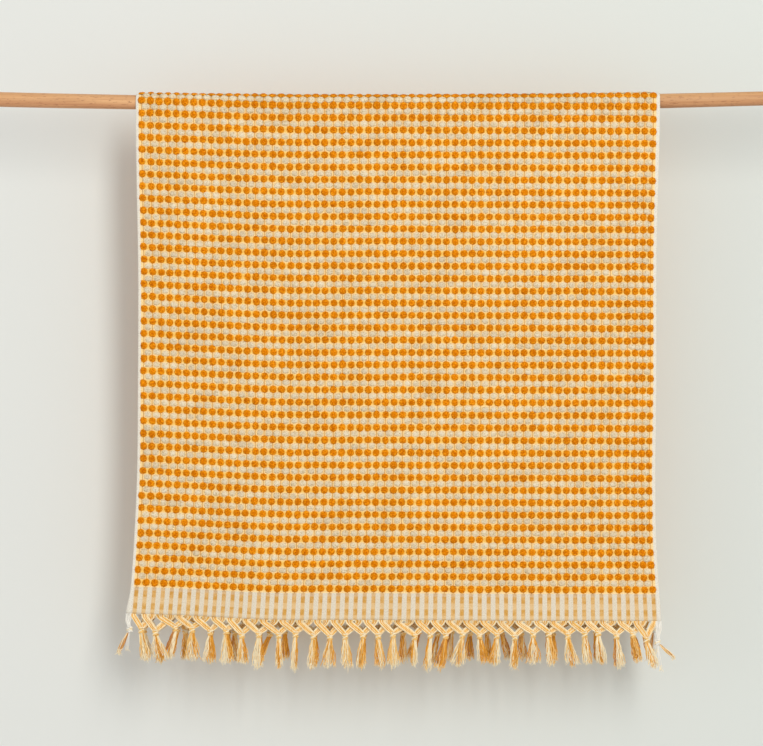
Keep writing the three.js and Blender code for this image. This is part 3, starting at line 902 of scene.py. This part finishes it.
def lay_tassel(work, knot, tassel, chance):
    """The yarns below a knot: three locks, each mostly of one dye, turned a little, with frayed tips."""
    share = np.linspace(0, 1, TASSEL.steps)
    top = knot - (0, 0, KNOTS.tall / 2 - 1)
    for lock, dye in enumerate(tassel.locks):
        place = lock / (len(tassel.locks) - 1) - 0.5
        turn = TASSEL.turn * (0.6 + 0.4 * chance.random()) * (1 if lock % 2 else -1)
        forward = 0.5 * TASSEL.deep * (chance.random() - 0.5)
        leaning = (tassel.lean + place * tassel.spread * 0.62) * share ** 0.92
        aside = place * TASSEL.mouth * 0.66 * (1 - share) + leaning
        wide = 0.9 + (tassel.spread / 5.5 - 0.9 + 0.5) * soft(share, 0, 0.8)
        deep = (TASSEL.deep / 2) * (0.6 + 0.5 * share)
        for i in range(TASSEL.yarns):
            reach = math.sqrt((i + 0.5) / TASSEL.yarns)
            angle = i * GOLDEN_ANGLE + turn * share * 3
            phase = chance.random(2) * math.tau
            kink = TASSEL.kink * np.sin(share * 19 + phase[0]) + 0.35 * share * np.sin(share * 7 + phase[1])
            length = (tassel.length - KNOTS.tall / 2) * (1 - 0.08 * abs(2 * place))
            length *= 1 + 0.05 * chance.normal()
            points = np.c_[
                top[0] + aside + wide * reach * np.cos(angle) + kink,
                top[1] + forward + deep * reach * np.sin(angle) + 0.6 * kink,
                top[2] - share * length,
            ]
            mixed = LOCK_MIXES[dye][chance.integers(4)]
            work.lay(points, YARN.radius + (YARN.tip - YARN.radius) * share, mixed)
            lay_fray(work, points[-1], points[-2], "p" if mixed in "mt" else "c", chance)


def lay_corner(work, panel, corner, chance):
    """A corner's selvedge cord: white yarns down to a knot, a thin tuft, and a loose yarn."""
    knot = hem_point(panel, corner.knot_x) - (0, 0, corner.knot_below)
    foot = float(panel.hem(corner.knot_x))
    share = np.linspace(0, 1, 8)[:, None]
    bulge = np.sin(math.pi * share[:, 0]) * np.sign(corner.x)
    for i in range(CORNER_YARNS):
        from_middle = i - (CORNER_YARNS - 1) / 2
        root = hem_point(panel, corner.x + 0.85 * from_middle) + (0, LEG.flush * panel.facing, 0.6)
        points = root + (knot + (0.3 * from_middle, 0, 1) - root) * share
        points[:, 0] += bulge + 0.3 * np.sin(share[:, 0] * 9 + i * 1.6)
        points[:, 1] += 0.35 * np.cos(share[:, 0] * 9 + i * 1.6)
        work.lay(points, YARN.radius * 1.1, "w")
    lay_knot(work, knot, "wwc", chance)
    ends = (
        (corner.tip_x, corner.tip_below, 10, 2.8, corner.dyes),
        (corner.stray_x, corner.stray_below, 3, 1.6, "w"),
    )
    for tip_x, tip_below, yarns, spread, dyes in ends:
        for i in range(yarns):
            aside = spread * (i / (yarns - 1) - 0.5)
            forward = 0.8 * math.sin(i * GOLDEN_ANGLE)
            end = np.array([tip_x + 1.2 * aside, knot[1] + forward, foot - tip_below + abs(aside)])
            points = knot + (end - knot) * share
            points[:, 0] += (aside * 0.7 + 0.4 * np.sin(share[:, 0] * 6 + i)) * np.sin(math.pi * share[:, 0])
            work.lay(points, YARN.radius * 0.85 * (1 - 0.3 * share[:, 0]), dyes[i % len(dyes)])
            lay_fray(work, points[-1], points[-2], "c", chance)


def fringe_mesh(name, panel, tassels, corners, seed):
    chance = np.random.default_rng(seed)
    work = YarnWork(name)
    tassels = rows_named(TASSEL_COLUMNS, tassels)
    left, right = rows_named(CORNER_COLUMNS, corners)
    knots = []
    for k, tassel in enumerate(tassels):
        at = hem_point(panel, KNOTS.first + k * KNOTS.pitch + tassel.shift)
        knots.append(at - (0, 0, tassel.below))
    for k, knot in enumerate(knots):
        before = knots[k - 1][0] if k else left.x + 1.5
        after = knots[k + 1][0] if k < len(knots) - 1 else right.x - 1.5
        lay_leg(work, panel, before, knot, -1, chance)
        lay_leg(work, panel, after, knot, 1, chance)
        lay_knot(work, knot, KNOT_DYES, chance)
        lay_tassel(work, knot, tassels[k], chance)
    for corner in (left, right):
        lay_corner(work, panel, corner, chance)
    return work.mesh()


FRINGES = (
    ("fringe_yarns_front", "fringe_front", FRONT, FRONT_TASSELS, FRONT_CORNERS, 21),
    ("fringe_yarns_back", "fringe_back", BACK, back_tassels(), BACK_CORNERS, 22),
)
for name, cad_node, panel, tassels, corners, seed in FRINGES:
    piece = add_piece(name, fringe_mesh(name, panel, tassels, corners, seed))
    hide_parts(cad_node)

# Stage, in metres: a pale wall behind, its paint lighter at the left and darker at the right as painted
# light, and a plain pale floor below, both seen from their front side only. A tall soft lamp shines from the
# upper right, a weak one from the left, and one on the towel's back.
# ROOM is the pale light all round.
WALL = SimpleNamespace(y=0.075, z=-0.3, width=4.0, height=3.0)
FLOOR = SimpleNamespace(z=-1.1, size=8.0)
PHOTO_SIDE = SimpleNamespace(x=-0.0163, y=-2.511, z=-0.2578, lens=122.87, sensor=36)
KEY = SimpleNamespace(
    place=(0.98, -3.0, 1.1), aim=(0, 0, -0.25), size=(1.0, 2.7), power=64, tint=(255, 254, 250),
)
SIDE = SimpleNamespace(
    place=(-2.6, -1.7, -0.1), aim=(-0.3, 0, -0.25), size=(1.5, 1.5), power=8, tint=(255, 255, 255),
)
FILL = SimpleNamespace(
    place=(-0.9, 2.6, 0.6), aim=(0, 0, -0.25), size=(1.6, 1.6), power=25, tint=(255, 234, 204),
)
ROOM = SimpleNamespace(tint=(250, 250, 252), strength=0.65)


def stage_finish(name, left, right):
    """Paint graded from left to right, as painted light where the two colours differ, that shows to the
    camera from its front side, and lets the lamps' light through.
    """
    finish, tree, shader = new_finish(name, roughness=1.0, gloss=0.0)
    across = grown(tree, axes(tree, own_place(tree))[0], -0.45, 0.45)
    tree.links.new(blend_colours(tree, across, left, right), shader.inputs["Base Color"])
    clear = node(tree, "ShaderNodeBsdfTransparent")
    ray = node(tree, "ShaderNodeLightPath")
    behind = node(tree, "ShaderNodeNewGeometry").outputs["Backfacing"]
    dimmed = times(tree, ray.outputs["Is Diffuse Ray"], 0.5)
    passing = calc(tree, "MAXIMUM", ray.outputs["Is Shadow Ray"], dimmed)
    unseen = calc(tree, "MAXIMUM", behind, passing)
    mixed = node(tree, "ShaderNodeMixShader", {0: unseen, 1: shader.outputs[0], 2: clear.outputs[0]})
    tree.links.new(mixed.outputs[0], tree.nodes["Material Output"].inputs[0])
    return finish


def stage_plane(name, width, height, place, turn, finish):
    plane = bmesh.new()
    bmesh.ops.create_grid(plane, x_segments=1, y_segments=1, size=0.5)
    bmesh.ops.scale(plane, vec=(width, height, 1), verts=plane.verts)
    bmesh.ops.transform(plane, matrix=Matrix.Translation(place) @ turn, verts=plane.verts)
    mesh = bpy.data.meshes.new(name)
    plane.to_mesh(mesh)
    plane.free()
    mesh.materials.append(finish)
    made = bpy.data.objects.new(name, mesh)
    bpy.context.scene.collection.objects.link(made)


stage_plane(
    "wall", WALL.width, WALL.height, (0, WALL.y, WALL.z), Matrix.Rotation(math.radians(90), 4, "X"),
    stage_finish("wall_paint_painted_light", hue(220, 222, 218), hue(213, 217, 212)),
)
stage_plane(
    "floor", FLOOR.size, FLOOR.size, (0, 0, FLOOR.z), Matrix.Identity(4),
    stage_finish("floor_paint", hue(226, 225, 219), hue(226, 225, 219)),
)


def add_lamp(name, lamp):
    light = bpy.data.lights.new(name, "AREA")
    light.shape = "ELLIPSE"
    light.size, light.size_y = lamp.size
    light.energy = lamp.power
    light.color = hue(*lamp.tint)[:3]
    made = bpy.data.objects.new(name, light)
    made.location = lamp.place
    made.rotation_euler = (Vector(lamp.aim) - Vector(lamp.place)).to_track_quat("-Z", "Y").to_euler()
    bpy.context.scene.collection.objects.link(made)


add_lamp("key_lamp", KEY)
add_lamp("side_lamp", SIDE)
add_lamp("fill_lamp", FILL)
world = bpy.data.worlds.new("pale_room")
world.use_nodes = True
world.node_tree.nodes["Background"].inputs["Color"].default_value = hue(*ROOM.tint)
world.node_tree.nodes["Background"].inputs["Strength"].default_value = ROOM.strength
bpy.context.scene.world = world

camera = bpy.data.objects.new("camera", bpy.data.cameras.new("camera"))
camera.data.lens = PHOTO_SIDE.lens
camera.data.sensor_width = PHOTO_SIDE.sensor
camera.location = (PHOTO_SIDE.x, PHOTO_SIDE.y, PHOTO_SIDE.z)
camera.rotation_euler = (math.radians(90), 0, 0)
bpy.context.scene.collection.objects.link(camera)
bpy.context.scene.camera = camera
bpy.context.scene.view_settings.view_transform = "Standard"
